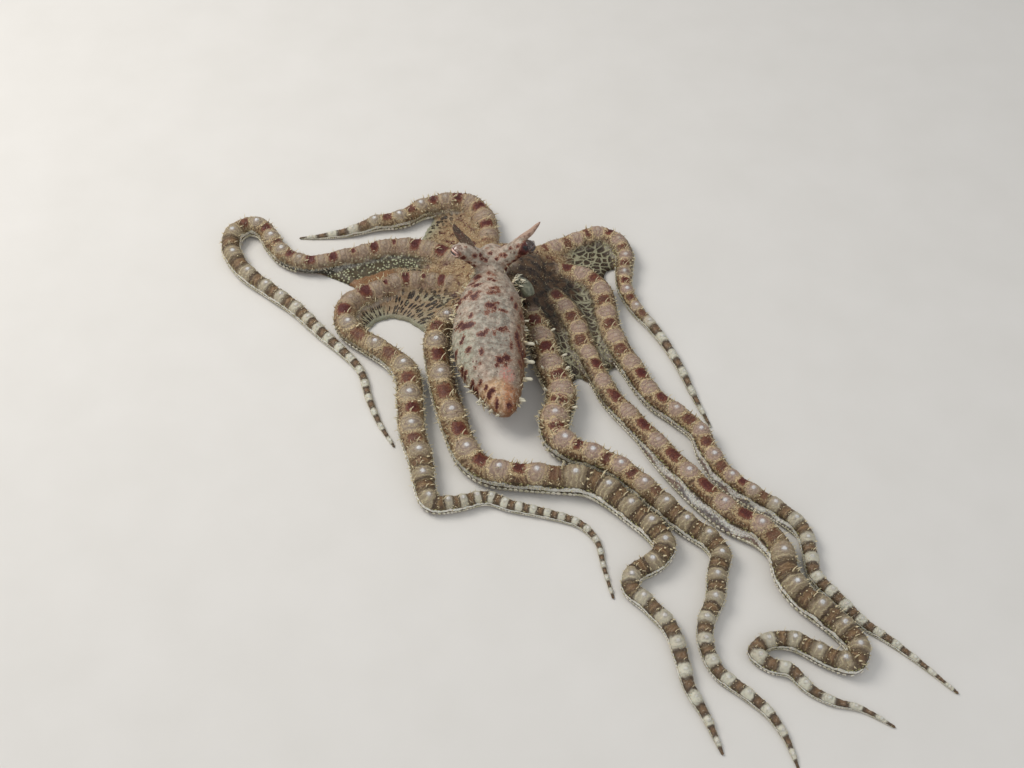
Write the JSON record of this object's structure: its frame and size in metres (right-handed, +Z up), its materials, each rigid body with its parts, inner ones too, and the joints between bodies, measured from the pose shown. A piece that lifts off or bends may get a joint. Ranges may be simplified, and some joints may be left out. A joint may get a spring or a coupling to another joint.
{
  "type": "octopus",
  "caption": "Long-armed sand octopus at rest, arms spread over the floor in loose curves with webs between their bases, a pointed mantle, and stalked eyes under horn-like papillae.",
  "frame": {"origin": "middle of the footprint, at floor level", "axes": "+Z up from the floor, -Y towards the rear end of the mantle, +X towards the animal's right side"},
  "size_m": [0.2007, 0.1953, 0.0322],
  "materials": {
    "skin": "moist mottled skin with low papillae",
    "web": "thin netted web skin, moist",
    "eye": "wet, glossy",
    "horn": "soft pointed papilla, moist"
  },
  "bodies": {
    "root": {"crown": "skin", "mantle": "skin", "head": "skin", "eye_stalk_left": "skin", "eye_left": "eye", "horn_left": "horn", "eye_stalk_right": "skin", "eye_right": "eye", "horn_right": "horn", "siphon": "skin", "arm_l1_a": "skin", "arm_l1_b": "skin", "arm_l1_c": "skin", "arm_l2_a": "skin", "arm_l2_b": "skin", "arm_l2_c": "skin", "arm_l2_d": "skin", "arm_l2_e": "skin", "arm_l3_a": "skin", "arm_l3_b": "skin", "arm_l3_c": "skin", "arm_l3_d": "skin", "arm_l3_e": "skin", "arm_l4_a": "skin", "arm_l4_b": "skin", "arm_l4_c": "skin", "arm_l4_d": "skin", "arm_l4_e": "skin", "arm_r1_a": "skin", "arm_r1_b": "skin", "arm_r1_c": "skin", "arm_r2_a": "skin", "arm_r2_b": "skin", "arm_r2_c": "skin", "arm_r2_d": "skin", "arm_r2_e": "skin", "arm_r3_a": "skin", "arm_r3_b": "skin", "arm_r3_c": "skin", "arm_r3_d": "skin", "arm_r3_e": "skin", "arm_r3_f": "skin", "arm_r4_a": "skin", "arm_r4_b": "skin", "arm_r4_c": "skin", "arm_r4_d": "skin", "web_l1_r1": "web", "web_l1_l2": "web", "web_l2_l3": "web", "web_l3_l4": "web", "web_l4_r4": "web", "web_r3_r4": "web", "web_r2_r3": "web", "web_r1_r2": "web"}
  },
  "joints": []
}
